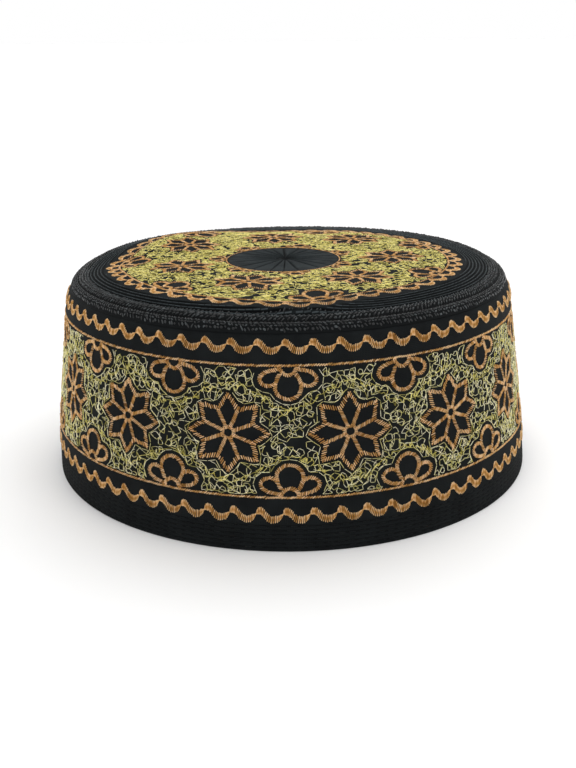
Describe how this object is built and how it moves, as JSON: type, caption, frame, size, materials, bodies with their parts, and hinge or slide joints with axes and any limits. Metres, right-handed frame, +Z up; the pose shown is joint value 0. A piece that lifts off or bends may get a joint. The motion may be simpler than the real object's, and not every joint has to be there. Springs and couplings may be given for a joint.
{
  "type": "prayer cap",
  "caption": "Round flat-topped cloth prayer cap with an embroidered tapering wall, an embroidered lid and an overcast seam round its top edge, worn on the head.",
  "frame": {"origin": "centre of the mouth, on the surface the cap rests on", "axes": "+Z up through the lid, -Y towards the front of the cap in the picture, +X to the viewer's right"},
  "size_m": [0.1904, 0.1904, 0.0802],
  "materials": {
    "band_cloth": "matte black woven cloth with tan and yellow-green embroidery",
    "panel_cloth": "matte black ribbed cloth with tan and yellow-green embroidery",
    "welt_cord": "black overcast thread with a slight sheen"
  },
  "bodies": {
    "root": {"side_band": "band_cloth", "top_panel": "panel_cloth", "edge_welt": "welt_cord"}
  },
  "joints": []
}
